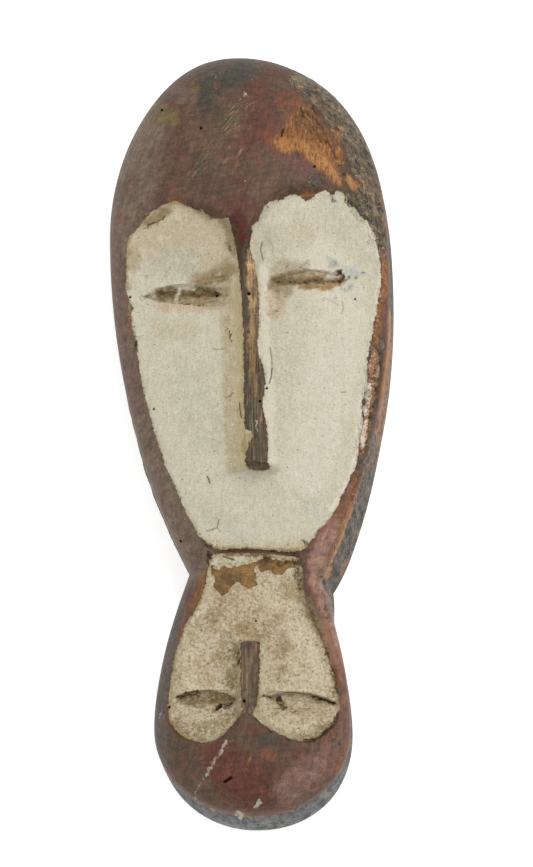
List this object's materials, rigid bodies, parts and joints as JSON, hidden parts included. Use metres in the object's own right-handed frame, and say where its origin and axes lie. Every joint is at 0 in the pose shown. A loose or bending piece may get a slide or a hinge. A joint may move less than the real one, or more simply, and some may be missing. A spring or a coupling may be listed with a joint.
{
  "type": "miniature mask",
  "caption": "Carved wooden mask with a tall face above and a small upside-down face joined chin to chin, hollow at the back.",
  "frame": {"origin": "centre of the mask's bounding box, on the plane of the flat back rim", "axes": "+X to the right across the mask, +Y up towards the tall head's crown, +Z out of the faces"},
  "size_m": [0.0849, 0.2318, 0.0338],
  "materials": {
    "painted_wood": "worn red-brown paint with chalky white faces"
  },
  "bodies": {
    "root": {"mask": "painted_wood"}
  },
  "joints": []
}
